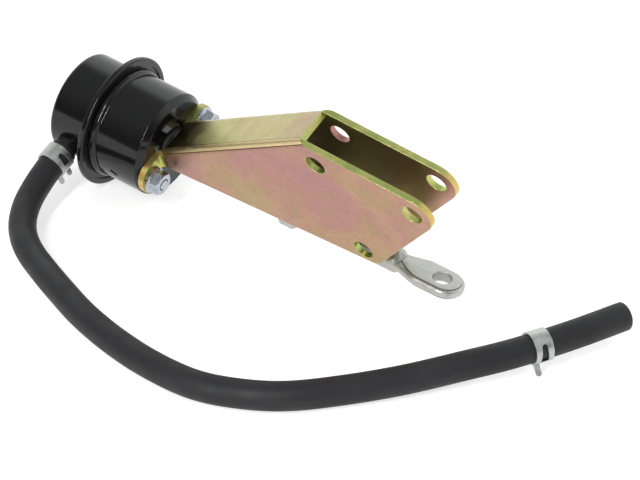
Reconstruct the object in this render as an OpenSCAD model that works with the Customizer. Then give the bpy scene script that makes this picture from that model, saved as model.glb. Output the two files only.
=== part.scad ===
// Vacuum or boost actuator with a spring return, a folded mounting bracket,
// an adjustable rod with a forged eye, and a rubber hose on its side nipple.
// The canister's axis is the local X axis, with the front face at x = 0 and
// the rod leaving towards +X. place() then lays the whole thing down as it
// rests: on its flange, on the tip of the eye, and on the hose.

/* [Canister] */
// Outer radius of the front housing
can_front_r = 25.6; // [25:0.1:26.2]
// Outer radius of the rear cover
can_rear_r = 24.6; // [24.2:0.1:25.2]
// Outer radius of the rolled flange
flange_r = 32.3; // [32.1:0.1:34]
// Distance of the flange's front face behind the front face
flange_x = 28.7; // [27.5:0.1:30]
// Overall length of the canister
can_len = 54.2; // [53.8:0.1:56]
// Sheet thickness of the pressed shells
can_wall = 1.2; // [1:0.1:1.4]

/* [Bracket] */
// Outer width of the folded channel
channel_w = 22.2; // [21.8:0.2:24]
// Thickness of the bracket's sheet
sheet_t = 3; // [2.5:0.25:3]
// Outer radius of the channel's two long folds
fold_r = 3.4; // [3.2:0.2:5]
// Radius of the bolt holes in the cheeks
bolt_r = 5.1; // [4:0.1:5.5]
// Half of the distance between the two studs
stud_off = 19.8; // [19.6:0.1:20.4]
// Radius of each foot round its stud
foot_r = 6.8; // [6.6:0.05:7.4]

/* [Rod] */
// Diameter of the rod where it runs in the bush
rod_d = 9; // [8:0.5:9]
// Position of the rod's socket end
socket_x = 66; // [62:1:68]
// Outer diameter of the socket
socket_d = 13.5; // [13:0.5:14]
// Width across the flats of the lock nut
lock_af = 16; // [15:1:16]
// Position of the centre of the eye's hole
eye_x = 150.7; // [145:0.1:155]
// Radius of the eye's hole
eye_hole_r = 4.5; // [4:0.1:5]
// Outer radius of the eye
eye_r = 8.8; // [8.4:0.1:9.6]
// Thickness of the flat eye
eye_t = 5.2; // [5:0.1:5.4]

/* [Hose] */
// Outer diameter of the hose
hose_d = 13; // [12.5:0.1:13.2]
// Bore of the hose
hose_bore = 8; // [7.9:0.1:8.4]
// Width of each spring band clamp
clamp_w = 8.5; // [8:0.5:10]

/* [Hidden] */
$fn = 96;

// How the actuator lies: roll about its own axis, then nose down.
roll = 24.6;
nose = 8.8;
lift = 27.38;
shift = [-55.7, 5.5];

// Derived sizes
half_w = channel_w / 2;
stud_r = 3;
nip_x = -43.8;              // station of the hose nipple behind the face
hose_r = hose_d / 2;
rear_x = -can_len;
fl_f = -flange_x;           // front face of the rolled lip
lip_t = 0.8;
web = [1.4, 9.5];           // outer line of the web, from the feet ...
web_end = [91, 79.6];       // ... to the free end of the web
tip = [167.5, 76.4];        // sharp corners of the cheeks before rounding
low_end = [125, 9.1];
low_start = [5, 0.3];
bend_r = 2 + sheet_t;       // outer radius of the fold between foot and cheek
foot_top = web[1] - 0.05;   // upper edge of the near foot
holes = [[99.2, 68.3], [149.8, 66.9], [117.9, 16.1]];
web_a = atan2(web_end[1] - web[1], web_end[0] - web[0]);

// A local point carried into the frame the thing lies in
function laid(p) = let(
    y1 = p[1] * cos(roll) - p[2] * sin(roll),
    z1 = p[1] * sin(roll) + p[2] * cos(roll))
    [p[0] * cos(nose) + z1 * sin(nose) + shift[0],
     y1 + shift[1],
     -p[0] * sin(nose) + z1 * cos(nose) + lift];

// Points of an arc, for profiles
function arc(cx, cy, r, a0, a1, n = 10) =
    [for (i = [0 : n]) let(a = a0 + (a1 - a0) * i / n) [cx + r * cos(a), cy + r * sin(a)]];

module place() translate([shift[0], shift[1], lift]) rotate([roll, nose, 0]) children();
// Turns a profile of [radius, x] points about the canister's axis
module turned(p) rotate([0, 90, 0]) rotate_extrude() polygon(p);
module rod_x(r, x0, x1) translate([x0, 0, 0]) rotate([0, 90, 0]) cylinder(h = x1 - x0, r = r);
module cone_x(r0, r1, x0, x1) translate([x0, 0, 0]) rotate([0, 90, 0]) cylinder(h = x1 - x0, r1 = r0, r2 = r1);
module hex_x(af, x0, x1, a = 0) translate([x0, 0, 0]) rotate([a, 0, 0]) rotate([0, 90, 0])
    cylinder(h = x1 - x0, r = af / 2 / cos(30), $fn = 6);

// Rear pressed shell: rounded end, side hole for the nipple, and a flange
// whose rim is rolled forward over the front housing's flange.
module rear_cover() color([0.045, 0.045, 0.05]) place() difference() {
    turned(concat(
        [[0, rear_x], [can_rear_r - 2.4, rear_x]],
        arc(can_rear_r - 2.4, rear_x + 2.4, 2.4, -90, 0, 8),
        [[can_rear_r, fl_f - 4.2], [can_rear_r + 0.5, fl_f - 3.3], [can_rear_r + 1.4, fl_f - 3]],
        arc(flange_r - 0.9, fl_f - 2.1, 0.9, -90, 0, 5),
        arc(flange_r - 0.9, fl_f - 0.9, 0.9, 0, 90, 5),
        [[flange_r - 2.9, fl_f], [flange_r - 2.9, fl_f - lip_t],
         [flange_r - lip_t, fl_f - lip_t], [flange_r - lip_t, fl_f - 2.2],
         [can_rear_r - can_wall, fl_f - 2.2]],
        arc(can_rear_r - 2.4, rear_x + 2.4, 2.4 - can_wall, 0, -90, 6),
        [[0, rear_x + can_wall]]));
    translate([nip_x, 0, 0]) rotate([90, 0, 0]) cylinder(h = 40, r = 3.9);
}

// Turned nipple with a saddle collar brazed on the rear cover.
module hose_nipple() color([0.05, 0.05, 0.055]) place() difference() {
    union() {
        translate([nip_x, -22.4, 0]) rotate([90, 0, 0]) cylinder(h = 16.6, r = 3.8);
        translate([nip_x, -39, 0]) rotate([90, 0, 0]) cylinder(h = 1.4, r1 = 3.8, r2 = 3.2);
        difference() {
            translate([nip_x, -23.4, 0]) rotate([90, 0, 0]) cylinder(h = 3.4, r = 5.7);
            rod_x(can_rear_r + 0.02, nip_x - 12, nip_x + 12);
        }
    }
    translate([nip_x, -20, 0]) rotate([90, 0, 0]) cylinder(h = 24, r = 2.4);
}

// Front pressed shell: flat face with a small sloping shoulder, a stepped
// ring next to its flange, two stud holes and a vent slot low on the side.
module front_housing() color([0.045, 0.045, 0.05]) place() difference() {
    turned(concat(
        [[8, 0]],
        arc(can_front_r - 3.1, -1, 1, 90, 44, 3),
        arc(can_front_r - 0.6, -3.01, 0.6, 44, 0, 4),
        [[can_front_r, fl_f + 3.4], [can_front_r + 1.7, fl_f + 1.8],
         [can_front_r + 1.7, fl_f - lip_t],
         [flange_r - 1, fl_f - lip_t], [flange_r - 1, fl_f - 1.6],
         [can_front_r + 0.5, fl_f - 1.6], [can_front_r + 0.5, fl_f + 1.2],
         [can_front_r - can_wall, fl_f + 2.9], [can_front_r - can_wall, -2.06 - can_wall],
         [can_front_r - 3.19, -can_wall], [8, -can_wall]]));
    for (s = [-1, 1]) translate([0, s * stud_off, 0]) rod_x(stud_r + 0.1, -5, 5);
    // vent slot
    rotate([2, 0, 0]) translate([-15.8, -can_front_r + 3, 0]) rotate([90, 0, 0]) rotate([0, 0, -31]) {
        for (d = [-1.25, 1.25]) translate([d, 0, 0]) cylinder(h = 8, r = 0.95);
        translate([-1.25, -0.95, 0]) cube([2.5, 1.9, 8]);
    }
}

// Plate behind the front face that carries the studs and the spring.
module stud_plate() color([0.5, 0.5, 0.5]) place() difference() {
    turned([[8.05, -can_wall], [can_front_r - 3.3, -can_wall], [can_front_r - 1.6, -3],
        [can_front_r - 1.6, -3.6], [8.05, -3.6]]);
    for (s = [-1, 1]) translate([0, s * stud_off, 0]) rod_x(stud_r + 0.02, -6, 2);
}

// Two studs, pressed through the plate from behind.
module mounting_studs() color([0.72, 0.74, 0.78]) place()
    for (s = [-1, 1]) translate([0, s * stud_off, 0]) {
        rod_x(4, -5.2, -3.6);
        rod_x(stud_r, -3.6, 9.2);
        cone_x(stud_r, stud_r - 0.6, 9.2, 9.8);
    }

// Hexagon nuts with a flange, one on each stud.
module flange_nuts() color([0.72, 0.75, 0.8]) place()
    for (s = [-1, 1]) translate([0, s * stud_off, 0]) difference() {
        union() {
            rod_x(6.4, sheet_t, sheet_t + 1.1);
            cone_x(6.3, 5.2, sheet_t + 1.1, sheet_t + 1.9);
            intersection() {
                hex_x(10, sheet_t + 1, sheet_t + 6.4, s > 0 ? 30 : -12);
                cone_x(11.4, 5, sheet_t, sheet_t + 6.4);
            }
        }
        rod_x(stud_r + 0.02, 0, 14);
    }

// Bush that guides the rod through the front face, with an outer collar.
module rod_bush() color([0.1, 0.1, 0.11]) place()
    turned([[rod_d / 2 + 0.05, 1.6], [9.2, 1.6], [9.8, 1], [9.8, 0], [7.95, 0],
        [7.95, -8], [rod_d / 2 + 0.05, -8]]);

// Ring that centres the front end of the spring.
module spring_seat() color([0.6, 0.6, 0.6]) place()
    turned([[8.2, -3.6], [15.5, -3.6], [15.5, -4.6], [11.4, -4.6], [11.4, -6.6], [10.4, -6.6],
        [10.4, -4.6], [8.2, -4.6]]);

// Return spring: a swept round wire, with one closed turn at each end.
spr_r = 13.4;
spr_w = 1.2;
spr_x0 = -5.9;
spr_x1 = -40.9;
spr_n = 7;
spr_seg = 14;
function spr_x(u) = let(e = spr_w * 2 + 0.1, m = spr_n - 2, L = spr_x0 - spr_x1 - 2 * e)
    u < 1 ? spr_x0 - e * u : u > spr_n - 1 ? spr_x1 + e * (spr_n - u) : spr_x0 - e - L * (u - 1) / m;
module return_spring() color([0.6, 0.6, 0.62]) place() {
    n = spr_n * spr_seg;
    k = 8;
    polyhedron(
        points = [for (i = [0 : n]) let(u = i / spr_seg, a = 360 * u) for (j = [0 : k - 1])
            let(b = 360 * j / k, r = spr_r + spr_w * cos(b))
            [spr_x(u) + spr_w * sin(b), r * cos(a), r * sin(a)]],
        faces = concat(
            [[for (j = [0 : k - 1]) j]],
            [for (i = [0 : n - 1]) for (j = [0 : k - 1]) let(m = (j + 1) % k)
                [i * k + m, i * k + j, (i + 1) * k + j, (i + 1) * k + m]],
            [[for (j = [k - 1 : -1 : 0]) n * k + j]]),
        convexity = 10);
}

// Rolling rubber diaphragm: bead in the flange, one convolution, flat centre.
module diaphragm() color([0.12, 0.12, 0.12]) place()
    turned(concat(
        [[31.1, fl_f - 1.62], [31.1, fl_f - 2.18], [24.2, fl_f - 2.18], [23.4, fl_f - 2.18]],
        arc(21.95, -24.5, 1.45, 0, 180, 8),
        [[20.5, -44.8], [3.1, -44.8], [3.1, -43.8], [19.7, -43.8]],
        arc(21.95, -24.5, 2.25, 180, 0, 8),
        [[24.2, fl_f - 1.62]]));

// Pressed cup that carries the diaphragm and takes the spring.
module piston() color([0.75, 0.76, 0.78]) place()
    turned([[3.1, -43.75], [18.8, -43.75], [19.6, -42.9], [19.6, -27.4], [19, -27],
        [18.4, -27.4], [18.4, -42.2], [3.1, -42.2]]);

// Plate that clamps the diaphragm's centre from the pressure side.
module piston_retainer() color([0.6, 0.6, 0.6]) place()
    turned([[3.1, -44.85], [17.4, -44.85], [18, -45.3], [18, -46.2], [3.1, -46.2]]);

// Nut that holds the piston, the diaphragm and the plate on the rod.
module piston_nut() color([0.7, 0.7, 0.72]) place() difference() {
    hex_x(10, -51.2, -46.2);
    rod_x(3.05, -53, -43);
}

// Turned rod: threaded tail, running length, and a threaded socket.
module actuator_rod() color([0.62, 0.63, 0.64]) place() difference() {
    union() {
        rod_x(3, rear_x + can_wall + 0.2, -42.2);
        rod_x(rod_d / 2, -42.2, socket_x - 32);
        cone_x(rod_d / 2, socket_d / 2, socket_x - 32, socket_x - 30);
        rod_x(socket_d / 2, socket_x - 30, socket_x);
    }
    rod_x(5, socket_x - 22, socket_x + 1);
}

// Lock nut that jams the eye's thread against the socket.
module lock_nut() color([0.72, 0.74, 0.73]) place() difference() {
    intersection() {
        hex_x(lock_af, socket_x, socket_x + 8, 90);
        union() {
            cone_x(lock_af / 2 + 0.2, lock_af / 2 + 2, socket_x, socket_x + 1.4);
            rod_x(lock_af, socket_x + 1.3, socket_x + 6.7);
            cone_x(lock_af / 2 + 2, lock_af / 2 + 0.2, socket_x + 6.6, socket_x + 8);
        }
    }
    rod_x(5, socket_x - 1, socket_x + 9);
}

// Forged eye: threaded end, round shank, and a flat paddle whose faces lie
// level with the surface that the actuator rests on.
eye_side = concat(
    [[124, 5.4], [130, 5.5]],
    [for (i = [1 : 6]) let(u = i / 6) [130 + 15 * u, 5.5 + (eye_r - 5.5) * (1 - cos(180 * u)) / 2]]);
module rod_eye() color([0.74, 0.76, 0.74]) place() difference() {
    union() {
        rod_x(4.95, socket_x - 18, 92);
        cone_x(4.95, 5.9, 92, 93);
        rod_x(5.9, 93, 125.5);
        cone_x(5.9, 2.8, 125.5, 128);
        rotate([-roll, 0, 0]) translate([0, 0, -eye_t / 2]) linear_extrude(eye_t) polygon(concat(
            eye_side,
            arc(eye_x + 2, 0, eye_r, 90, -90, 28),
            [for (i = [len(eye_side) - 1 : -1 : 0]) [eye_side[i][0], -eye_side[i][1]]]));
    }
    rotate([-roll, 0, 0]) translate([eye_x, 0, -10]) cylinder(h = 20, r = eye_hole_r);
}

// One folded sheet: a sloping web, two cheeks, and two feet bent outwards.
// The cheeks run on past the web's square-cut end.
function corner(p, a, b, r, n = 7) = let(
    u = (a - p) / norm(a - p), v = (b - p) / norm(b - p),
    h = acos(u * v) / 2, d = r / tan(h), c = p + (u + v) / norm(u + v) * r / sin(h),
    s = p + u * d - c, e = p + v * d - c,
    a0 = atan2(s[1], s[0]), t = atan2(e[1], e[0]) - a0,
    da = t > 180 ? t - 360 : t < -180 ? t + 360 : t)
    arc(c[0], c[1], r, a0, a0 + da, n);
module side_shape() polygon(concat(
    [[0, 0.1], [0, web[1] - 1.14]],
    [web_end - [0.02, 0]],
    corner(tip, web_end, low_end, 10, 10),
    corner(low_end, tip, low_start, 8, 8),
    [low_start]));
// Section of the channel, seen along the web: x down from the web, y across
module channel_shape() difference() {
    polygon(concat([[140, -half_w]], arc(fold_r, -half_w + fold_r, fold_r, 270, 180, 8),
        arc(fold_r, half_w - fold_r, fold_r, 180, 90, 8), [[140, half_w]]));
    polygon(concat([[141, -half_w + sheet_t]],
        arc(fold_r, -half_w + fold_r, fold_r - sheet_t, 270, 180, 6),
        arc(fold_r, half_w - fold_r, fold_r - sheet_t, 180, 90, 6), [[141, half_w - sheet_t]]));
}
module foot(top) difference() {
    union() {
        // flat of the foot
        linear_extrude(sheet_t) polygon(concat(
            [[-half_w - 2, top]],
            top > foot_r ? arc(-stud_off + 0.4, top - 7.2, 7.2, 90, 180, 10)
                : arc(-stud_off, 0, foot_r, 90, 171, 9),
            arc(-stud_off, 0, foot_r, 180, 270, 10),
            [[-stud_off + 3, -foot_r], [-half_w - 3.2, -3], [-half_w - 2, 0.1]]));
        // quarter fold from the foot into the cheek
        translate([-half_w - 2, 0.6, bend_r]) rotate([-90, 0, 0]) intersection() {
            difference() {
                cylinder(h = top - 0.6, r = bend_r);
                translate([0, 0, -1]) cylinder(h = top + 2, r = 2);
            }
            translate([0, 0, -1]) cube([bend_r + 1, bend_r + 1, top + 2]);
        }
    }
    translate([-stud_off, 0, -1]) cylinder(h = sheet_t + 2, r = stud_r + 0.3);
}
module bracket() color([0.7, 0.6, 0.45]) place() {
    difference() {
        intersection() {
            translate([web[0], 0, web[1]]) rotate([0, 90 - web_a, 0]) translate([0, 0, -30])
                linear_extrude(260) channel_shape();
            translate([0, 40, 0]) rotate([90, 0, 0]) linear_extrude(80) side_shape();
        }
        // square end of the web, between the cheeks
        translate([web_end[0], 0, web_end[1]]) rotate([0, -web_a, 0])
            translate([0, -half_w + sheet_t, -12]) cube([90, channel_w - 2 * sheet_t, 24]);
        // the feet's folds take over below this height
        translate([-10, -30, -20]) cube([10 + bend_r, 30 + half_w - sheet_t - 0.6, 20 + foot_top]);
        translate([-10, 0, -20]) cube([10 + bend_r, 30, 20 + foot_r]);
        translate([-10, -30, -20]) cube([11.5, 60, 60]);
        translate([-10, -half_w + sheet_t, -20]) cube([14.5, channel_w - 2 * sheet_t, 60]);
        for (h = holes) translate([h[0], 30, h[1]]) rotate([90, 0, 0]) cylinder(h = 60, r = bolt_r);
    }
    for (s = [0, 1]) mirror([0, s, 0]) rotate([0, 90, 0]) rotate([0, 0, 90])
        foot(s == 0 ? foot_top : foot_r);
}

// Hose: a tube swept along its route, from the nipple to its cut end.
route = [laid([nip_x, -27, 0]), laid([nip_x, -37, 0]), [-100.6, -39, 14.4],
    [-97.6, -51, 10.8], [-91.8, -62.2, 8.4], [-83.4, -72, 7.1], [-72.5, -80.6, 6.6],
    [-59, -88.8, 6.6], [-41.5, -98.4, 6.6], [-19.5, -109.5, 6.6], [4.5, -118.5, 6.6],
    [28.5, -124.5, 6.6], [52.5, -126.5, 6.6], [72.5, -121.5, 6.6], [90.5, -111.5, 6.6],
    [107.8, -94.4, 6.7], [125.5, -74.3, 7.6], [142.5, -52, 9.2], [155.1, -35.2, 10.6],
    [169, -10.6, 11.7], [180.3, 16.3, 11.7]];
nr = len(route);
function cr(p0, p1, p2, p3, t) = 0.5 * (2 * p1 + (p2 - p0) * t
    + (2 * p0 - 5 * p1 + 4 * p2 - p3) * t * t + (3 * p1 - p0 - 3 * p2 + p3) * t * t * t);
function on_route(u) = let(i = min(floor(u), nr - 2), t = u - i)
    cr(i > 0 ? route[i - 1] : 2 * route[0] - route[1], route[i], route[i + 1],
       i < nr - 2 ? route[i + 2] : 2 * route[nr - 1] - route[nr - 2], t);
function along(u) = let(d = on_route(min(u + 0.01, nr - 1)) - on_route(max(u - 0.01, 0))) d / norm(d);
module hose() color([0.1, 0.1, 0.105]) {
    k = 12;
    n = 3 * (nr - 1);
    pts = [for (i = [0 : n]) let(u = i / 3, c = on_route(u), t = along(u),
            s = cross(t, [0, 0, 1]) / norm(cross(t, [0, 0, 1])), w = cross(s, t))
        for (r = [hose_r, hose_bore / 2]) for (j = [0 : k - 1]) let(a = 360 * (j + 0.5) / k)
            c + s * r * cos(a) + w * r * sin(a)];
    polyhedron(points = pts, convexity = 10, faces = concat(
        [for (i = [0 : n - 1]) for (j = [0 : k - 1]) let(m = (j + 1) % k, a = 2 * k * i, b = a + 2 * k)
            [a + j, a + m, b + m, b + j]],
        [for (i = [0 : n - 1]) for (j = [0 : k - 1]) let(m = (j + 1) % k, a = 2 * k * i + k, b = a + 2 * k)
            [a + m, a + j, b + j, b + m]],
        [for (j = [0 : k - 1]) let(m = (j + 1) % k) [m, j, k + j, k + m]],
        [for (j = [0 : k - 1]) let(m = (j + 1) % k, e = 2 * k * n) [e + j, e + m, e + k + m, e + k + j]]));
}

// Spring band clamp along local X: a band, two tapered ears at the angles
// ears, whose tips are tip from the hose's centre, and a window that widens
// from its round end at win[0] to win[1].
module band_clamp(ears, win, tip) {
    s = win[0] > win[1] ? 1 : -1;
    t = (hose_r + 0.5) * sin(abs(win[0] - win[1]) / 2);
    difference() {
        union() {
            difference() {
                rod_x(hose_r + 0.9, -clamp_w / 2, clamp_w / 2);
                rod_x(hose_r + 0.12, -clamp_w, clamp_w);
            }
            for (e = [0, 1]) rotate([ears[e], 0, 0])
                translate([(e == 0 ? -1 : 1) * (clamp_w / 2 - 1.35), 0, -0.45]) linear_extrude(0.9)
                    polygon(concat([[-1.32, hose_r + 0.4], [1.32, hose_r + 0.4]],
                        arc(0, tip - 1.28, 1.28, 0, 180, 8)));
        }
        rotate([(win[0] + win[1]) / 2, 0, 0]) rotate([-90, 0, 0]) linear_extrude(12)
            polygon(concat([[-1.95, s * t], [1.95, s * t]],
                [for (k = [0 : 8]) let(a = 22.5 * k)
                    [1.3 * cos(a), -s * (t - 1.3 + 1.3 * sin(a))]]));
    }
}
module clamp_canister() color([0.72, 0.74, 0.73]) place()
    translate([nip_x, -33.6, 0]) rotate([0, 0, -90]) band_clamp([-76, -76], [64, 12], 13.8);
free_u = 18.44;
module clamp_free() color([0.72, 0.74, 0.73]) {
    t = along(free_u);
    translate(on_route(free_u)) rotate([0, 0, atan2(t[1], t[0])]) rotate([0, -asin(t[2]), 0])
        band_clamp([-122, -58], [141, 217], 12.6);
}

rear_cover();
hose_nipple();
front_housing();
stud_plate();
mounting_studs();
flange_nuts();
rod_bush();
spring_seat();
return_spring();
diaphragm();
piston();
piston_retainer();
piston_nut();
actuator_rod();
lock_nut();
rod_eye();
bracket();
hose();
clamp_canister();
clamp_free();
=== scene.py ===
import math

import bmesh
import bpy
from mathutils import Matrix, Vector


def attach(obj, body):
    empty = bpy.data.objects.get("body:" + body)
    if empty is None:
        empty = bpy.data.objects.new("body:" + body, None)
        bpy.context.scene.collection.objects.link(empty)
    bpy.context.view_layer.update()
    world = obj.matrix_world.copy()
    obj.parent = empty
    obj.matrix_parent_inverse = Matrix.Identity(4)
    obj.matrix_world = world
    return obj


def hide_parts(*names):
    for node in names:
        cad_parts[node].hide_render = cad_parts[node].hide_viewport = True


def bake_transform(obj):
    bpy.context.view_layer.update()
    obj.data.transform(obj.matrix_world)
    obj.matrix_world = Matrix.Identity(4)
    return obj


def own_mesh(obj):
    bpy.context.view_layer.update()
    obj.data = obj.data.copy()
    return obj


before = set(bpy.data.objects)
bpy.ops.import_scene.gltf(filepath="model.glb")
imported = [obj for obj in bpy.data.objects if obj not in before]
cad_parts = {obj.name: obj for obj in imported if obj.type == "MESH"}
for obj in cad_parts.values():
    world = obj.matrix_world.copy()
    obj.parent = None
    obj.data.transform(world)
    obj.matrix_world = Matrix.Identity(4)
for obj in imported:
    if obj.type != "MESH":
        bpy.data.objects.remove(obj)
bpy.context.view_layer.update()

# ---------------------------------------------------------------- placing
# Local frame in mm: X is the canister's axis, x = 0 on its front face.
ROLL = math.radians(24.6)
NOSE = math.radians(8.8)
SHIFT = Vector((-0.0557, 0.0055, 0.02738))
PLACE = (Matrix.Translation(SHIFT) @ Matrix.Rotation(NOSE, 4, "Y")
         @ Matrix.Rotation(ROLL, 4, "X") @ Matrix.Scale(0.001, 4))
INV = PLACE.inverted()
TURN = PLACE.to_3x3() * 1000


def laid(x, y, z):
    return PLACE @ Vector((x, y, z))


# ---------------------------------------------------------------- camera
cam_data = bpy.data.cameras.new("camera")
cam_data.sensor_width = 36
cam_data.lens = 177.754
cam_data.clip_start = 0.05
cam_data.clip_end = 20
cam = bpy.data.objects.new("camera", cam_data)
bpy.context.scene.collection.objects.link(cam)
aim = Vector((-0.48342, 0.71054, -0.51136)).normalized()
right = aim.cross(Vector((0, 0, 1))).normalized()
up = right.cross(aim).normalized()
cam_at = Vector((0.7266, -1.02204, 0.74392))
m = Matrix.Identity(4)
for i in range(3):
    m[i][0], m[i][1], m[i][2], m[i][3] = right[i], up[i], -aim[i], cam_at[i]
cam.matrix_world = m
bpy.context.scene.camera = cam


# ---------------------------------------------------------------- meshes
def link(mesh, name):
    o = bpy.data.objects.new(name, mesh)
    bpy.context.scene.collection.objects.link(o)
    return o


def from_bm(bm, name, sharp=35):
    me = bpy.data.meshes.new(name)
    bmesh.ops.recalc_face_normals(bm, faces=bm.faces)
    bm.to_mesh(me)
    bm.free()
    me.shade_smooth()
    me.set_sharp_from_angle(angle=math.radians(sharp))
    return link(me, name)


def mesh_of(verts, faces, name, sharp=35):
    bm = bmesh.new()
    vs = [bm.verts.new(v) for v in verts]
    for f in faces:
        bm.faces.new([vs[i] for i in f])
    return from_bm(bm, name, sharp)


def weighted(o):
    w = o.modifiers.new("weighted", "WEIGHTED_NORMAL")
    w.keep_sharp = True
    w.weight = 80


def node_bm(node):
    """A welded copy of a CAD node, with its flat faces joined up."""
    bm = bmesh.new()
    bm.from_mesh(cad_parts[node].data)
    bmesh.ops.remove_doubles(bm, verts=bm.verts, dist=3e-6)
    bmesh.ops.dissolve_degenerate(bm, edges=bm.edges, dist=2e-6)
    bmesh.ops.recalc_face_normals(bm, faces=bm.faces)
    bmesh.ops.dissolve_limit(bm, angle_limit=math.radians(0.4), verts=bm.verts, edges=bm.edges,
                             use_dissolve_boundaries=False)
    return bm


def bevel_edges(bm, offset, angle=32, segments=2, keep=None, clamp=True):
    lim = math.radians(angle)
    es = [e for e in bm.edges if len(e.link_faces) == 2 and e.calc_face_angle(0) > lim
          and (keep is None or keep(e))]
    if es:
        bmesh.ops.bevel(bm, geom=es, offset=offset, offset_type="OFFSET", segments=segments,
                        profile=0.5, affect="EDGES", clamp_overlap=clamp)
        bmesh.ops.remove_doubles(bm, verts=bm.verts, dist=2e-6)
        bmesh.ops.dissolve_degenerate(bm, edges=bm.edges, dist=1e-6)


def refined(node, name, bevel=0.0002, angle=32, segments=2, sharp=50, keep=None, edit=None, clamp=True):
    bm = node_bm(node)
    if edit:
        edit(bm)
    if bevel:
        bevel_edges(bm, bevel, angle, segments, keep, clamp)
    o = from_bm(bm, name, sharp)
    weighted(o)
    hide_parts(node)
    return o


def lathe_parts(profile, segs, verts, faces, y0=0.0):
    """Turns closed [radius, x] points about the local X axis at y = y0."""
    base = len(verts)
    n = len(profile)
    for k in range(segs):
        a = 2 * math.pi * k / segs
        for r, x in profile:
            verts.append(laid(x, y0 + r * math.cos(a), r * math.sin(a)))
    for k in range(segs):
        q = (k + 1) % segs
        for j in range(n):
            i = (j + 1) % n
            faces.append((base + k * n + j, base + k * n + i, base + q * n + i, base + q * n + j))


def thread_parts(r_top, r_root, pitch, x0, x1, verts, faces, y0=0.0, segs=40, per=8, taper=1.2):
    """A helical thread as one closed skin, with its end at x1 run out to the root."""
    base = len(verts)
    rings = max(4, int((x1 - x0) / pitch * per))
    for i in range(rings + 1):
        x = x0 + (x1 - x0) * i / rings
        end = min(1.0, (x1 - x) / taper, 1.0)
        for k in range(segs):
            a = 2 * math.pi * k / segs
            p = (x / pitch - k / segs) % 1.0
            t = abs(2 * p - 1)
            t = min(1.0, max(0.0, (t - 0.12) / 0.7))
            r = r_root + (r_top - r_root) * t * max(0.15, end)
            r -= 0.25 * (1 - max(0.0, end))
            verts.append(laid(x, y0 + r * math.cos(a), r * math.sin(a)))
    for i in range(rings):
        for k in range(segs):
            q = (k + 1) % segs
            a, b = base + i * segs, base + (i + 1) * segs
            faces.append((a + k, a + q, b + q, b + k))
    faces.append(tuple(base + k for k in range(segs)))
    faces.append(tuple(base + rings * segs + k for k in reversed(range(segs))))


# ---------------------------------------------------------------- hose
ROUTE = [laid(-43.8, -27, 0), laid(-43.8, -37, 0)] + [Vector(p) * 0.001 for p in (
    (-100.6, -39, 14.4), (-97.6, -51, 10.8), (-91.8, -62.2, 8.4), (-83.4, -72, 7.1), (-72.5, -80.6, 6.6),
    (-59, -88.8, 6.6), (-41.5, -98.4, 6.6), (-19.5, -109.5, 6.6), (4.5, -118.5, 6.6),
    (28.5, -124.5, 6.6), (52.5, -126.5, 6.6), (72.5, -121.5, 6.6), (90.5, -111.5, 6.6),
    (107.8, -94.4, 6.7), (125.5, -74.3, 7.6), (142.5, -52, 9.2), (155.1, -35.2, 10.6),
    (169, -10.6, 11.7), (180.3, 16.3, 11.7))]
NR = len(ROUTE)
FREE_U = 18.44


def on_route(u):
    i = min(int(u), NR - 2)
    t = u - i
    p1, p2 = ROUTE[i], ROUTE[i + 1]
    p0 = ROUTE[i - 1] if i > 0 else 2 * p1 - p2
    p3 = ROUTE[i + 2] if i < NR - 2 else 2 * p2 - p1
    return 0.5 * (2 * p1 + (p2 - p0) * t + (2 * p0 - 5 * p1 + 4 * p2 - p3) * t * t
                  + (3 * p1 - p0 - 3 * p2 + p3) * t ** 3)


def along(u):
    return (on_route(min(u + 0.01, NR - 1)) - on_route(max(u - 0.01, 0))).normalized()


def make_hose():
    per, outer, inner = 10, 36, 20
    n = per * (NR - 1)
    rings, path = [], []
    side = None
    for i in range(n + 1):
        u = i / per
        c, t = on_route(u), along(u)
        path.append(c)
        if side is None:
            side = t.cross(Vector((0, 0, 1))).normalized()
        side = (side - t * side.dot(t)).normalized()
        rings.append((c, t, side, t.cross(side).normalized()))
    length = sum((path[i + 1] - path[i]).length for i in range(n))
    verts, faces = [], []

    def ring(c, s, w, r, count):
        base = len(verts)
        for k in range(count):
            a = 2 * math.pi * k / count
            verts.append(c + s * (r * math.cos(a)) + w * (r * math.sin(a)))
        return base

    def skin(a, b, count, flip=False):
        for k in range(count):
            q = (k + 1) % count
            f = (a + k, a + q, b + q, b + k)
            faces.append(tuple(reversed(f)) if flip else f)

    R, B = 0.0065, 0.004
    outs = []
    c, t, s, w = rings[0]
    outs.append(ring(c, s, w, R - 0.0004, outer))
    outs.append(ring(c + t * 0.0004, s, w, R, outer))
    for c, t, s, w in rings[1:-1]:
        outs.append(ring(c, s, w, R, outer))
    c, t, s, w = rings[-1]
    outs.append(ring(c - t * 0.0003, s, w, R, outer))
    outs.append(ring(c, s, w, R - 0.00025, outer))
    for a, b in zip(outs, outs[1:]):
        skin(a, b, outer)
    ins = []
    for c, t, s, w in rings:
        ins.append(ring(c, s, w, B, outer))
    for a, b in zip(ins, ins[1:]):
        skin(a, b, outer, True)
    skin(outs[-1], ins[-1], outer)
    skin(ins[0], outs[0], outer)
    return mesh_of(verts, faces, "hose_rubber", 40), path, length


hose, hose_path, hose_len = make_hose()
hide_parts("hose")
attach(hose, "canister")


# ---------------------------------------------------------------- materials
def srgb(r, g, b):
    def f(v):
        v /= 255
        return v / 12.92 if v <= 0.04045 else ((v + 0.055) / 1.055) ** 2.4
    return (f(r), f(g), f(b), 1)


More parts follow.
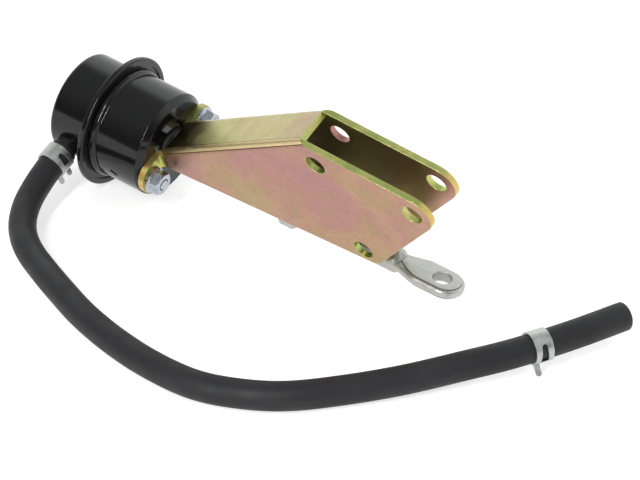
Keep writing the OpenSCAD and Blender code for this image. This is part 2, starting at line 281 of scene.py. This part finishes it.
class Mat:
    """Short names for building a node material."""

    def __init__(self, name, base=(0.5, 0.5, 0.5, 1), metallic=0.0, rough=0.5, spec=None):
        self.m = bpy.data.materials.new(name)
        self.m.use_nodes = True
        self.t = self.m.node_tree
        self.b = self.t.nodes["Principled BSDF"]
        self.b.inputs["Base Color"].default_value = base
        self.b.inputs["Metallic"].default_value = metallic
        self.b.inputs["Roughness"].default_value = rough
        if spec is not None:
            self.b.inputs["Specular IOR Level"].default_value = spec
        self.loc = None

    def node(self, kind, **kw):
        n = self.t.nodes.new(kind)
        for k, v in kw.items():
            setattr(n, k, v)
        return n

    def put(self, sock, v):
        if isinstance(v, bpy.types.NodeSocket):
            self.t.links.new(v, sock)
        elif v is not None:
            sock.default_value = v

    def local(self):
        """Local coordinates of the canister's frame, in metres."""
        if self.loc is None:
            c = self.node("ShaderNodeTexCoord")
            p = self.node("ShaderNodeMapping", vector_type="TEXTURE")
            p.inputs["Location"].default_value = SHIFT
            p.inputs["Rotation"].default_value = (ROLL, NOSE, 0)
            self.t.links.new(c.outputs["Object"], p.inputs["Vector"])
            self.loc = p.outputs["Vector"]
        return self.loc

    def scaled(self, s):
        p = self.node("ShaderNodeVectorMath", operation="MULTIPLY")
        self.put(p.inputs[0], self.local())
        p.inputs[1].default_value = s
        return p.outputs[0]

    def noise(self, scale, detail=2.0, rough=0.5, stretch=None, distort=0.0, off=None):
        n = self.node("ShaderNodeTexNoise")
        v = self.scaled(stretch) if stretch else self.local()
        if off:
            a = self.node("ShaderNodeVectorMath", operation="ADD")
            self.put(a.inputs[0], v)
            a.inputs[1].default_value = off
            v = a.outputs[0]
        self.put(n.inputs["Vector"], v)
        n.inputs["Scale"].default_value = scale
        n.inputs["Detail"].default_value = detail
        n.inputs["Roughness"].default_value = rough
        n.inputs["Distortion"].default_value = distort
        return n.outputs["Fac"]

    def ramp(self, fac, stops):
        r = self.node("ShaderNodeValToRGB")
        self.put(r.inputs["Fac"], fac)
        el = r.color_ramp.elements
        while len(el) < len(stops):
            el.new(0.5)
        for e, (p, c) in zip(el, stops):
            e.position = p
            e.color = c if len(c) == 4 else (*c, 1)
        return r.outputs["Color"]

    def step(self, fac, lo, hi, a=0.0, b=1.0):
        r = self.node("ShaderNodeMapRange", interpolation_type="SMOOTHSTEP")
        self.put(r.inputs["Value"], fac)
        r.inputs["From Min"].default_value = lo
        r.inputs["From Max"].default_value = hi
        r.inputs["To Min"].default_value = a
        r.inputs["To Max"].default_value = b
        return r.outputs["Result"]

    def math(self, op, a, b=None):
        n = self.node("ShaderNodeMath", operation=op)
        self.put(n.inputs[0], a)
        if b is not None:
            self.put(n.inputs[1], b)
        return n.outputs[0]

    def dot(self, v):
        n = self.node("ShaderNodeVectorMath", operation="DOT_PRODUCT")
        self.put(n.inputs[0], self.local())
        n.inputs[1].default_value = v
        return n.outputs["Value"]

    def mix(self, fac, a, b, blend="MIX"):
        n = self.node("ShaderNodeMix", data_type="RGBA", blend_type=blend)
        self.put(n.inputs["Factor"], fac)
        self.put(n.inputs["A"], a)
        self.put(n.inputs["B"], b)
        return n.outputs["Result"]

    def bump(self, height, strength=0.2, dist=0.0001):
        n = self.node("ShaderNodeBump")
        n.inputs["Strength"].default_value = strength
        n.inputs["Distance"].default_value = dist
        self.put(n.inputs["Height"], height)
        self.put(self.b.inputs["Normal"], n.outputs["Normal"])

    def color(self, v):
        self.put(self.b.inputs["Base Color"], v)

    def rough(self, v):
        self.put(self.b.inputs["Roughness"], v)


def black_paint(name, rough=0.10, base=0.0050):
    k = Mat(name, (base, base, base * 1.1, 1), 0.0, rough, 0.37)
    dust = k.step(k.noise(2600, 2, 0.6), 0.71, 0.78)
    k.color(k.mix(k.math("MULTIPLY", dust, 0.25), (base, base, base * 1.1, 1), (0.12, 0.12, 0.12, 1)))
    k.rough(k.step(k.noise(60, 4, 0.6), 0.3, 0.75, rough, rough + 0.07))
    k.bump(k.noise(420, 2, 0.5), 0.06, 0.00004)
    return k.m


WEB_X, WEB_Z, HALF, FOLD = 1.4, 9.5, 11.1, 3.4
WEB_A = math.atan2(79.6 - WEB_Z, 91 - WEB_X)


def zinc(name, part):
    """Yellow-passivated sheet: the film's colour drifts between pink, gold and olive; some faces and strips also carry
    painted shade, painted highlights and painted reflections.
    """
    k = Mat(name, metallic=1.0, rough=0.34)
    big = k.noise(26, 3, 0.55, distort=0.4)
    mid = k.noise(95, 4, 0.6, off=(0.3, 0.1, 0.7))
    fine = k.noise(1100, 3, 0.7, stretch=(0.35, 1, 1))
    if part == "cheek":
        c = k.ramp(big, [(0.30, srgb(196, 142, 140)), (0.46, srgb(198, 148, 134)), (0.58, srgb(200, 160, 128)),
                         (0.72, srgb(190, 166, 118))])
        c = k.mix(k.step(mid, 0.52, 0.72, 0, 0.55), c, srgb(186, 170, 122))
        c = k.mix(k.step(mid, 0.36, 0.22, 0, 0.5), c, srgb(196, 132, 146))
    elif part == "web":
        c = k.ramp(big, [(0.28, srgb(206, 186, 146)), (0.45, srgb(204, 198, 132)), (0.60, srgb(196, 192, 122)),
                         (0.75, srgb(200, 180, 150))])
        c = k.mix(k.step(mid, 0.55, 0.75, 0, 0.5), c, srgb(206, 176, 152))
        x = k.dot((1, 0, 0))
        c = k.mix(k.step(x, 0.062, 0.090, 0, 0.55), c, srgb(204, 168, 152))
        # painted reflection and shade: the web's first 6 to 30 mm beside the black canister is darkened to brown
        c = k.mix(k.step(x, 0.030, 0.006, 0, 0.85), c, srgb(96, 80, 52))
        # painted highlights: pale bright strips along the near and far fold bends
        c = k.mix(k.step(k.dot((0, -1, 0)), 0.0077, 0.0080, 0, 0.85), c, srgb(252, 226, 170))
        c = k.mix(k.step(k.dot((0, 1, 0)), 0.0080, 0.0090, 0, 0.7), c, srgb(212, 208, 184))
    elif part == "inside":
        # the inner faces get a darker copy of the zinc colour: painted shade inside the channel
        c = k.ramp(big, [(0.3, srgb(136, 124, 66)), (0.5, srgb(144, 130, 66)), (0.7, srgb(154, 126, 84))])
        c = k.mix(k.step(mid, 0.55, 0.75, 0, 0.4), c, srgb(126, 126, 58))
        # painted reflection: pinkish light on the inner faces towards the open end, past x = 138 mm
        c = k.mix(k.step(k.dot((1, 0, 0)), 0.138, 0.154, 0, 0.85), c, srgb(206, 158, 142))
    elif part == "foot":
        c = k.ramp(big, [(0.3, srgb(196, 190, 110)), (0.5, srgb(172, 186, 92)), (0.7, srgb(214, 168, 96))])
        c = k.mix(k.step(mid, 0.5, 0.7, 0, 0.6), c, srgb(150, 170, 80))
    else:  # cut edges
        c = k.ramp(mid, [(0.3, srgb(182, 198, 112)), (0.5, srgb(192, 202, 122)), (0.66, srgb(210, 206, 132)),
                         (0.8, srgb(218, 184, 118))])
        c = k.mix(k.step(k.noise(420, 3, 0.6), 0.55, 0.7, 0, 0.5), c, srgb(160, 196, 96))
        x = k.dot((1, 0, 0))
        c = k.mix(k.step(x, 0.151, 0.158, 0, 0.75), c, srgb(216, 178, 106))
        at_foot = k.step(x, 0.0045, 0.0025, 0, 1)
        # painted shade: the far foot's edges are turned darker and duller
        far = k.math("MULTIPLY", at_foot, k.step(k.dot((0, 1, 0)), 0, 0.001, 0, 0.75))
        c = k.mix(far, c, srgb(150, 148, 98))
        near = k.math("MULTIPLY", at_foot, k.step(k.dot((0, -1, 0)), 0, 0.001, 0, 1))
        c = k.mix(k.math("MULTIPLY", near, k.step(k.noise(500, 3, 0.6), 0.38, 0.58, 0.15, 0.85)), c,
                  srgb(216, 160, 92))
    if part in ("cheek", "web"):
        # tool marks along both edges of the long folds
        if part == "cheek":
            d = k.dot((-math.sin(WEB_A), 0, math.cos(WEB_A)))
            at = -WEB_X * math.sin(WEB_A) + WEB_Z * math.cos(WEB_A) - 1.75
        else:
            d = k.dot((0, -1, 0))
            at = HALF - FOLD
        off = k.math("ABSOLUTE", k.math("SUBTRACT", d, at * 0.001))
        c = k.mix(k.step(off, 0.00034, 0.00010, 0, 0.75), c, srgb(92, 76, 46))
    lo, hi = {"cheek": (0.69, 0.84), "web": (0.72, 0.86)}.get(part, (0.90, 1.06))
    grain = k.step(fine, 0.3, 0.7, lo, hi)
    g = k.node("ShaderNodeCombineColor")
    for s in g.inputs:
        k.put(s, grain)
    c = k.mix(1.0, c, g.outputs[0], "MULTIPLY")
    k.color(c)
    base = {"cheek": 0.36, "web": 0.33, "inside": 0.36, "foot": 0.30}.get(part, 0.36)
    k.rough(k.step(mid, 0.3, 0.7, base - 0.05, base + 0.08))
    k.bump(k.math("ADD", fine, k.math("MULTIPLY", mid, 2.0)), 0.05 if part == "web" else 0.12, 0.00004)
    return k.m


def bright_zinc(name):
    k = Mat(name, (0.62, 0.66, 0.72, 1), 1.0, 0.2)
    n = k.noise(300, 4, 0.6)
    k.color(k.ramp(n, [(0.3, srgb(150, 160, 172)), (0.55, srgb(182, 188, 194)), (0.75, srgb(160, 162, 170))]))
    k.rough(k.step(n, 0.3, 0.7, 0.14, 0.28))
    k.bump(k.noise(1500, 3, 0.6), 0.1, 0.00003)
    return k.m


def cast_zinc(name):
    k = Mat(name, (0.55, 0.57, 0.55, 1), 0.85, 0.42)
    n = k.noise(140, 4, 0.6)
    c = k.ramp(n, [(0.3, srgb(166, 167, 163)), (0.55, srgb(182, 182, 178)), (0.75, srgb(194, 193, 188))])
    streak = k.step(k.noise(60, 3, 0.55, stretch=(0.25, 2.4, 2.4)), 0.58, 0.72, 0, 0.6)
    c = k.mix(streak, c, srgb(128, 130, 112))
    pits = k.step(k.noise(1500, 3, 0.65), 0.66, 0.76, 0, 0.5)
    c = k.mix(pits, c, srgb(112, 114, 108))
    k.color(c)
    k.rough(k.step(n, 0.3, 0.7, 0.36, 0.5))
    k.bump(k.noise(900, 4, 0.65), 0.35, 0.00008)
    return k.m


def steel(name, tint=(186, 190, 186), rough=0.3, ring=False):
    k = Mat(name, (*srgb(*tint)[:3], 1), 1.0, rough)
    n = k.noise(1.0, 3, 0.6, stretch=(2600, 60, 60)) if ring else k.noise(260, 4, 0.6)
    t = tint
    k.color(k.ramp(n, [(0.3, srgb(*[v * 0.92 for v in t])), (0.7, srgb(*[min(255, v * 1.06) for v in t]))]))
    k.rough(k.step(n, 0.3, 0.7, rough - 0.06, rough + 0.1))
    k.bump(n, 0.12, 0.00004)
    return k.m


def rubber(name):
    k = Mat(name, (0.014, 0.014, 0.015, 1), 0.0, 0.6, 0.35)
    n = k.noise(40, 4, 0.6)
    k.color(k.ramp(n, [(0.3, srgb(27, 27, 29)), (0.55, srgb(31, 31, 33)), (0.75, srgb(38, 38, 40))]))
    k.rough(k.step(k.noise(90, 3, 0.6), 0.3, 0.7, 0.52, 0.66))
    k.bump(k.noise(1300, 3, 0.6), 0.25, 0.00006)
    return k.m


def plain(name, tint, metallic, rough):
    k = Mat(name, srgb(*tint), metallic, rough)
    n = k.noise(300, 3, 0.6)
    k.color(k.ramp(n, [(0.3, srgb(*[v * 0.93 for v in tint])), (0.7, srgb(*tint))]))
    k.rough(k.step(n, 0.3, 0.7, rough - 0.04, rough + 0.06))
    k.bump(n, 0.08, 0.00004)
    return k.m


M_SHELL = black_paint("black_gloss")
M_FIT = black_paint("black_satin", 0.28, 0.010)
M_CHEEK = zinc("zinc_cheek", "cheek")
M_WEB = zinc("zinc_web", "web")
M_IN = zinc("zinc_inside", "inside")
M_FOOT = zinc("zinc_foot", "foot")
M_EDGE = zinc("zinc_edge", "edge")
M_NUT = bright_zinc("zinc_bright")
M_CAST = cast_zinc("zinc_cast")
# a darker copy of the cast zinc: painted shade for the paddle's step walls
M_STEP_SHADE = plain("cast_step_shade", (84, 84, 80), 0.7, 0.6)
M_ROD = steel("steel_turned", (176, 180, 178), 0.28, ring=True)
M_CLAMP = steel("steel_clamp", (188, 190, 188), 0.40)
M_INNER = plain("steel_inner", (170, 172, 174), 1.0, 0.35)
M_ALU = plain("aluminium_inner", (200, 202, 204), 1.0, 0.35)
M_BUSH = plain("polymer_black", (20, 20, 21), 0.0, 0.6)
M_DIA = plain("rubber_diaphragm", (30, 30, 30), 0.0, 0.6)
M_HOSE = rubber("rubber_hose")
hose.data.materials.append(M_HOSE)


def set_cad(node, mat):
    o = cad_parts[node]
    if not o.material_slots:
        o.data.materials.append(mat)
    for s in o.material_slots:
        s.material = mat


for node, mat in (("stud_plate", M_INNER), ("spring_seat", M_INNER), ("piston", M_ALU),
                  ("piston_retainer", M_INNER), ("piston_nut", M_INNER)):
    set_cad(node, mat)


# Return spring: seven turns, closed up at both ends
def make_coil():
    verts, faces = [], []
    per, k, turns, e = 40, 14, 7, 2.5
    pitch = (35 - 2 * e) / (turns - 2)
    for i in range(turns * per + 1):
        u = i / per
        x = -5.9 - e * u if u < 1 else -40.9 + e * (turns - u) if u > turns - 1 else -5.9 - e - pitch * (u - 1)
        a = 2 * math.pi * u
        for j in range(k):
            b = 2 * math.pi * j / k
            r = 13.4 + 1.2 * math.cos(b)
            verts.append(laid(x + 1.2 * math.sin(b), r * math.cos(a), r * math.sin(a)))
    for i in range(turns * per):
        for j in range(k):
            m2 = (j + 1) % k
            faces.append((i * k + m2, i * k + j, (i + 1) * k + j, (i + 1) * k + m2))
    faces.append(tuple(range(k)))
    faces.append(tuple(turns * per * k + j for j in reversed(range(k))))
    return mesh_of(verts, faces, "return_coil", 40)


coil = make_coil()
coil.data.materials.append(M_INNER)
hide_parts("return_spring")
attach(coil, "canister")
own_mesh(coil)


# Diaphragm: its bead and outer fold as one mesh riding with the canister, its inner wall and centre as another
def arc_points(x, r, rad, a0, a1, n):
    return [(r + rad * math.cos(math.radians(a0 + (a1 - a0) * i / n)),
             x + rad * math.sin(math.radians(a0 + (a1 - a0) * i / n))) for i in range(n + 1)]


BEAD = -28.7
fold_v, fold_f, wall_v, wall_f = [], [], [], []
lathe_parts([(31.1, BEAD - 1.62), (31.1, BEAD - 2.18), (23.4, BEAD - 2.18)] + arc_points(-24.5, 21.95, 1.45, 0, 180, 12)
            + arc_points(-24.5, 21.95, 2.25, 180, 0, 12) + [(24.2, BEAD - 1.62)], 96, fold_v, fold_f)
rows = [-24.5 - 19.3 * i / 16 for i in range(17)]
lathe_parts([(20.5, x) for x in rows] + [(20.5, -44.8), (3.1, -44.8), (3.1, -43.8)]
            + [(19.7, x) for x in reversed(rows)], 96, wall_v, wall_f)
fold = mesh_of(fold_v, fold_f, "diaphragm_fold", 40)
wall = mesh_of(wall_v, wall_f, "diaphragm_wall", 40)
for o in (fold, wall):
    o.data.materials.append(M_DIA)
    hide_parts("diaphragm")
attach(fold, "canister")
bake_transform(wall)


# ---------------------------------------------------------------- canister
rear = refined("rear_cover", "shell_rear", bevel=0.00012, angle=50, sharp=40)
front = refined("front_housing", "shell_front", bevel=0.00012, angle=50, sharp=40)
nip = refined("hose_nipple", "nipple", bevel=0.00015, angle=50, sharp=40)
bush = refined("rod_bush", "bush_collar", bevel=0.00015, angle=35, sharp=40)
for o, mat, slot in ((rear, M_SHELL, "black_shell"), (front, M_SHELL, "black_shell"),
                     (nip, M_FIT, "black_fitting"), (bush, M_BUSH, "bush_polymer")):
    o.data.materials.append(mat)
    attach(o, "canister")

# ---------------------------------------------------------------- bracket
def cut_edge(e):
    # the folds' own corners stay sharp
    p = INV @ ((e.verts[0].co + e.verts[1].co) / 2)
    depth = (p.z - WEB_Z) * math.cos(WEB_A) - (p.x - WEB_X) * math.sin(WEB_A)
    return p.x > 8 and not (abs(p.y) > HALF - FOLD - 0.5 and depth > -FOLD - 1.2)


bracket = refined("bracket", "bracket_sheet", bevel=0.00018, angle=38, sharp=45, keep=cut_edge, clamp=False)
for mt in (M_CHEEK, M_WEB, M_IN, M_FOOT, M_EDGE):
    bracket.data.materials.append(mt)
n_web = Vector((-math.sin(WEB_A), 0, math.cos(WEB_A)))
TI = TURN.transposed()
for p in bracket.data.polygons:
    c = INV @ p.center
    n = TI @ p.normal
    rel = c.x * n_web.x + c.z * n_web.z - (WEB_X * n_web.x + WEB_Z * n_web.z)
    inner = abs(c.y) < HALF - 2.7 and rel < -2.7
    side = abs(c.y) > HALF - 1.2
    if c.x < 5.2 and abs(c.y) > HALF + 0.2:
        idx = 3 if n.x > 0.5 else 4 if abs(n.x) < 0.4 else 3
    elif abs(n.y) > 0.93:
        idx = 0 if n.y * c.y > 0 else 2
    elif n.dot(n_web) > 0.55 and rel > -2.2:
        idx = 1
    elif side and rel > -3.6 and n.y * c.y > 0 and abs(n.cross(n_web).y) < 0.2:
        idx = 0
    elif inner and n.dot(n_web) < -0.3 and rel > -6:
        idx = 2
    else:
        idx = 4
    if idx == 4 and c.y > 0 and math.hypot(c.x - 99.2, c.z - 68.3) < 5.6:
        idx = 0
    p.material_index = idx
    if p.area > 4e-5:
        p.use_smooth = False
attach(bracket, "canister")

# ---------------------------------------------------------------- studs and nuts
verts, faces = [], []
for s in (-1, 1):
    lathe_parts([(0.02, -5.2), (3.8, -5.2), (4.0, -5.0), (4.0, -3.6), (3.0, -3.6), (3.0, 2.9), (2.6, 3.1), (0.02, 3.1)],
                48, verts, faces, s * 19.8)
    thread_parts(3.0, 2.5, 1.0, 3.0, 9.8, verts, faces, s * 19.8)
studs = mesh_of(verts, faces, "studs_threaded", 40)
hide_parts("mounting_studs")
nuts = refined("flange_nuts", "nuts_flanged", bevel=0.00014, angle=28, sharp=35)
for o in (studs, nuts):
    o.data.materials.append(M_NUT)
    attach(o, "canister")

# ---------------------------------------------------------------- rod
rod = refined("actuator_rod", "rod_turned", bevel=0.0002, angle=35, sharp=40)
rod.data.materials.append(M_ROD)
lock = refined("lock_nut", "nut_lock", bevel=0.0002, angle=28, sharp=35)
lock.data.transform(PLACE @ Matrix.Rotation(math.radians(27), 4, "X") @ INV)
lock.data.materials.append(M_CAST)


# Forged paddle: rounded edges, and a raised flat pad on each face
def paddle_point(x, y, z):
    c, s = math.cos(ROLL), math.sin(ROLL)
    return laid(x, y * c + z * s, -y * s + z * c)


def paddle_half(x):
    if x < 128:
        return 5.5
    return 5.5 + 3.3 * (1 - math.cos(math.pi * min(1.0, (x - 128) / 13.5))) / 2


def paddle_line(inset, pad):
    side = []
    for j in range(25):
        x = 124 + 28.7 * j / 24
        if pad:
            x = 129.8 + 22.9 * (j / 24) ** 1.3
            w = min(paddle_half(x) - inset, max(0.15, (8.8 - inset) * (max(0.0, x - 129.8) / 10.8) ** 0.5))
        else:
            w = paddle_half(x) - inset
        side.append((x, w))
    r = 8.8 - inset
    tip = [(152.7 + r * math.cos(math.radians(a)), r * math.sin(math.radians(a))) for a in range(84, -85, -6)]
    return side + tip + [(x, -w) for x, w in reversed(side)]


def make_paddle():
    bm = bmesh.new()
    levels = [(0.9, 0.0, False), (1.4, 0.22, False), (1.78, 0.62, False), (1.98, 1.08, True), (2.05, 1.22, True),
              (2.58, 1.34, True), (2.6, 1.42, True)]
    levels = [(-z, i, p) for z, i, p in reversed(levels)] + levels
    rings = [[bm.verts.new(paddle_point(x, y, z)) for x, y in paddle_line(i, p)] for z, i, p in levels]
    hole = [[bm.verts.new(paddle_point(150.7 + r * math.cos(2 * math.pi * k / 48),
                                       r * math.sin(2 * math.pi * k / 48), z)) for k in range(48)]
            for z, r in ((-2.6, 4.75), (-2.35, 4.5), (2.35, 4.5), (2.6, 4.75))]
    for rows in (rings, hole):
        for a, b in zip(rows, rows[1:]):
            for k in range(len(a)):
                q = (k + 1) % len(a)
                bm.faces.new((a[k], a[q], b[q], b[k]))
    for a, b in ((rings[0], hole[0]), (rings[-1], hole[-1])):
        es = [bm.edges.get((v[k], v[(k + 1) % len(v)])) for v in (a, b) for k in range(len(v))]
        bmesh.ops.triangle_fill(bm, use_beauty=True, use_dissolve=False, edges=es)
    o = from_bm(bm, "eye_paddle", 34)
    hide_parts("rod_eye")
    return o


eye = make_paddle()
eye.data.materials.append(M_CAST)
eye.data.materials.append(M_STEP_SHADE)
for p in eye.data.polygons:
    # the pad's step walls take the darker cast colour: painted shade along the step
    c = INV @ p.center
    z = c.y * math.sin(ROLL) + c.z * math.cos(ROLL)
    if 2.1 < abs(z) < 2.57 and math.hypot(c.x - 150.7, c.y * math.cos(ROLL) - c.z * math.sin(ROLL)) > 5.2:
        p.material_index = 1
verts, faces = [], []
lathe_parts([(0.02, 92.4), (5.5, 92.4), (5.9, 92.8), (5.9, 127.0), (5.7, 127.9), (5.1, 128.8), (4.1, 129.7),
             (2.9, 130.3), (0.02, 130.6)], 64, verts, faces)
eye_shank = mesh_of(verts, faces, "eye_shank", 40)
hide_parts("rod_eye")
verts, faces = [], []
thread_parts(4.95, 4.15, 1.5, 60.0, 93.2, verts, faces, per=10, segs=48, taper=0.8)
eye_thread = mesh_of(verts, faces, "eye_thread", 50)
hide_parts("rod_eye")
for o in (eye_shank, eye_thread):
    o.data.materials.append(M_CAST)
for o in (rod, lock, eye, eye_shank, eye_thread):
    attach(o, "rod")

# ---------------------------------------------------------------- clamps
clamp1 = refined("clamp_canister", "clamp_band_1", bevel=0.00016, angle=38, sharp=45)
clamp2 = refined("clamp_free", "clamp_band_2", bevel=0.00016, angle=38, sharp=45)
for o in (clamp1, clamp2):
    o.data.materials.append(M_CLAMP)
    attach(o, "canister")

# ---------------------------------------------------------------- stage
bpy.ops.mesh.primitive_plane_add(size=8, location=(0, 0, 0))
floor = bpy.context.object
floor.name = "floor"
fm = Mat("floor_white", (0.60, 0.60, 0.60, 1), 0.0, 0.9, 0.1)
fm.b.inputs["Emission Color"].default_value = (1, 1, 1, 1)
fm.b.inputs["Emission Strength"].default_value = 0.62
fm.bump(fm.noise(40, 2, 0.5), 0.02, 0.0001)
floor.data.materials.append(fm.m)


def area(name, at, look, size, size_y, power, color=(1, 1, 1)):
    d = bpy.data.lights.new(name, "AREA")
    d.shape = "RECTANGLE"
    d.size, d.size_y = size, size_y
    d.energy = power
    d.color = color
    o = bpy.data.objects.new(name, d)
    bpy.context.scene.collection.objects.link(o)
    o.location = at
    o.rotation_euler = (Vector(look) - Vector(at)).to_track_quat("-Z", "Y").to_euler()
    return o


area("front_strip", (0.18, -1.23, 0.83), (-0.05, 0, 0.03), 0.09, 0.9, 17.0)

world = bpy.data.worlds.new("studio")
bpy.context.scene.world = world
world.use_nodes = True
wt = world.node_tree
bg = wt.nodes["Background"]
tc = wt.nodes.new("ShaderNodeTexCoord")
sep = wt.nodes.new("ShaderNodeSeparateXYZ")
wt.links.new(tc.outputs["Generated"], sep.inputs[0])


def sky(sock, lo, hi, a, b):
    r = wt.nodes.new("ShaderNodeMapRange")
    r.interpolation_type = "SMOOTHSTEP"
    wt.links.new(sock, r.inputs["Value"])
    for name, v in (("From Min", lo), ("From Max", hi), ("To Min", a), ("To Max", b)):
        r.inputs[name].default_value = v
    return r.outputs["Result"]


def sky_math(op, a, b):
    n = wt.nodes.new("ShaderNodeMath")
    n.operation = op
    wt.links.new(a, n.inputs[0])
    wt.links.new(b, n.inputs[1])
    return n.outputs[0]


# a soft bright band behind, an even dimmer ceiling, and a darker near side
band = sky_math("MULTIPLY", sky(sep.outputs["Z"], 0.7, 0.9, 1.12, 0.0), sky(sep.outputs["Y"], -0.3, 0.5, 0.0, 1.0))
wt.links.new(sky_math("ADD", band, sky(sep.outputs["Z"], 0.1, 0.9, 0.12, 0.48)), bg.inputs["Strength"])
bg.inputs["Color"].default_value = (0.99, 1.0, 1.0, 1)
white = wt.nodes.new("ShaderNodeBackground")
white.inputs["Color"].default_value = (1, 1, 1, 1)
lp = wt.nodes.new("ShaderNodeLightPath")
mixw = wt.nodes.new("ShaderNodeMixShader")
wt.links.new(lp.outputs["Is Camera Ray"], mixw.inputs[0])
wt.links.new(bg.outputs[0], mixw.inputs[1])
wt.links.new(white.outputs[0], mixw.inputs[2])
wt.links.new(mixw.outputs[0], wt.nodes["World Output"].inputs["Surface"])

vs = bpy.context.scene.view_settings
vs.view_transform = "Standard"
vs.look = "None"
vs.exposure = 0.0
